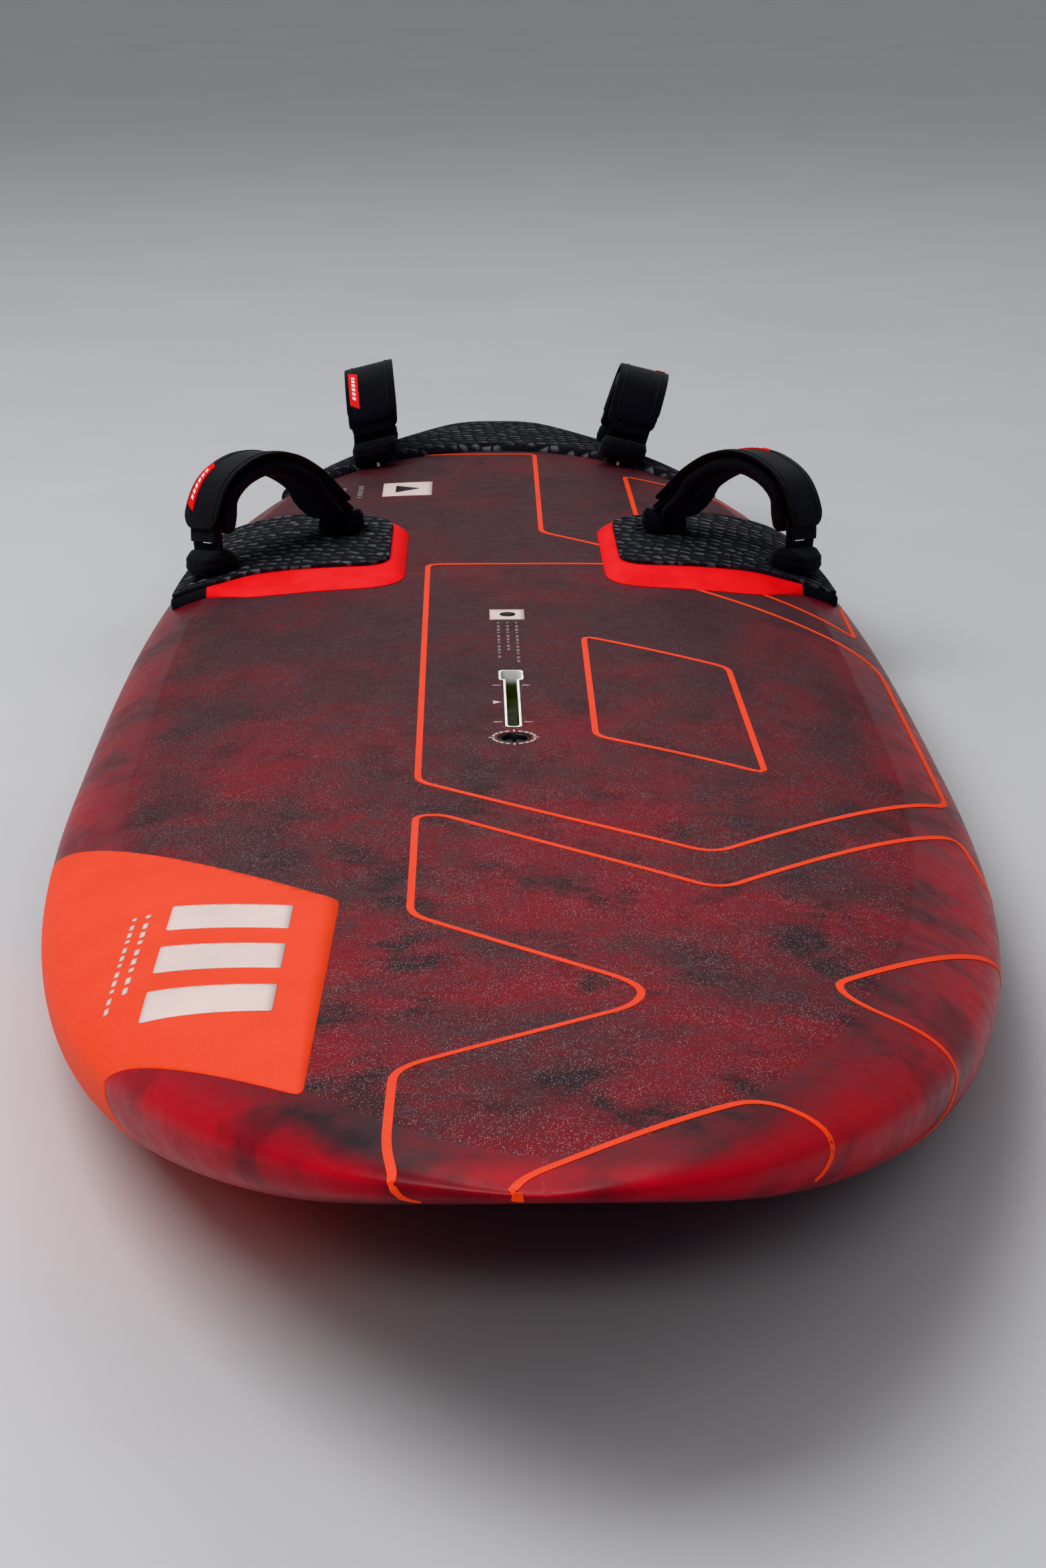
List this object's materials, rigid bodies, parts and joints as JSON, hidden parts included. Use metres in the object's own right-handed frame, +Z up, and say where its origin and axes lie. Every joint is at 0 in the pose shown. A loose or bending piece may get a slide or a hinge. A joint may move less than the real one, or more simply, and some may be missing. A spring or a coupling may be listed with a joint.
{
  "type": "windsurf board",
  "caption": "Windsurf board with a mast track, bevelled foot pads, padded adjustable foot straps, a vent plug and a fin box.",
  "frame": {"origin": "under the middle of the board, on the plane that its flat bottom rests on", "axes": "+Z up out of the deck, +Y toward the tail, -Y toward the nose, +X to the right when looking from the nose to the tail"},
  "size_m": [0.6878, 2.3239, 0.2185],
  "materials": {
    "deck_paint": "satin marbled dark red and charcoal lacquer",
    "bottom_paint": "smooth lacquer",
    "core_foam": "fine bead foam",
    "white_plastic": "moulded, satin",
    "black_plastic": "moulded, fine grain",
    "red_foam": "smooth bevelled foam",
    "grey_foam": "scale-embossed foam",
    "neoprene": "matt stretch fabric",
    "webbing": "woven webbing",
    "steel": "stainless",
    "seal_rubber": "smooth",
    "red_label": "woven tab"
  },
  "bodies": {
    "board": {"deck_shell": "deck_paint", "bottom_shell": "bottom_paint", "foam_core": "core_foam", "mast_track_box": "white_plastic", "fin_box": "black_plastic", "vent_housing": "black_plastic", "front_left_pad_base": "red_foam", "front_left_pad_top": "grey_foam", "front_right_pad_base": "red_foam", "front_right_pad_top": "grey_foam", "rear_pad": "grey_foam", "front_left_cushion": "neoprene", "front_left_webbing": "webbing", "front_left_foot_outboard": "black_plastic", "front_left_screw_outboard": "steel", "front_left_insert_outboard": "black_plastic", "front_left_foot_inboard": "black_plastic", "front_left_screw_inboard": "steel", "front_left_insert_inboard": "black_plastic", "front_right_cushion": "neoprene", "front_right_webbing": "webbing", "front_right_foot_outboard": "black_plastic", "front_right_screw_outboard": "steel", "front_right_insert_outboard": "black_plastic", "front_right_foot_inboard": "black_plastic", "front_right_screw_inboard": "steel", "front_right_insert_inboard": "black_plastic", "rear_left_cushion": "neoprene", "rear_left_webbing": "webbing", "rear_left_foot_outboard": "black_plastic", "rear_left_screw_outboard": "steel", "rear_left_insert_outboard": "black_plastic", "rear_left_foot_inboard": "black_plastic", "rear_left_screw_inboard": "steel", "rear_left_insert_inboard": "black_plastic", "rear_right_cushion": "neoprene", "rear_right_webbing": "webbing", "rear_right_foot_outboard": "black_plastic", "rear_right_screw_outboard": "steel", "rear_right_insert_outboard": "black_plastic", "rear_right_foot_inboard": "black_plastic", "rear_right_screw_inboard": "steel", "rear_right_insert_inboard": "black_plastic"},
    "front_left_flap": {"front_left_cover_flap": "neoprene", "front_left_label": "red_label"},
    "front_right_flap": {"front_right_cover_flap": "neoprene", "front_right_label": "red_label"},
    "rear_left_flap": {"rear_left_cover_flap": "neoprene", "rear_left_label": "red_label"},
    "rear_right_flap": {"rear_right_cover_flap": "neoprene", "rear_right_label": "red_label"},
    "vent_seal": {"vent_o_ring": "seal_rubber"},
    "vent_plug": {"vent_screw": "black_plastic"}
  },
  "joints": [
    {"name": "front_left_flap_peel", "type": "hinge", "parent": "board", "child": "front_left_flap", "pos_m": [-0.16536, 0.4324, 0.15585], "axis": [-0.6339, 0.7629, -0.1269], "range_deg": [0, 75]},
    {"name": "front_right_flap_peel", "type": "hinge", "parent": "board", "child": "front_right_flap", "pos_m": [0.16536, 0.4324, 0.15585], "axis": [-0.6339, -0.7629, 0.1269], "range_deg": [0, 75]},
    {"name": "rear_left_flap_peel", "type": "hinge", "parent": "board", "child": "rear_left_flap", "pos_m": [-0.14452, 1.01588, 0.12529], "axis": [-0.971, -0.0497, -0.2338], "range_deg": [0, 75]},
    {"name": "rear_right_flap_peel", "type": "hinge", "parent": "board", "child": "rear_right_flap", "pos_m": [0.15169, 1.01552, 0.12356], "axis": [-0.971, 0.0497, 0.2338], "range_deg": [0, 75]},
    {"name": "vent_lift", "type": "slide", "parent": "board", "child": "vent_seal", "axis": [0, 0, 1], "range_m": [0, 0.01]},
    {"name": "vent_turn", "type": "hinge", "parent": "vent_seal", "child": "vent_plug", "pos_m": [0, -0.244, 0.118], "axis": [0, 0, 1], "range_deg": [0, 1800]}
  ],
  "couplings": [
    {"joint": "vent_turn", "follows": "vent_lift", "rad_per_m": 3141.6}
  ]
}
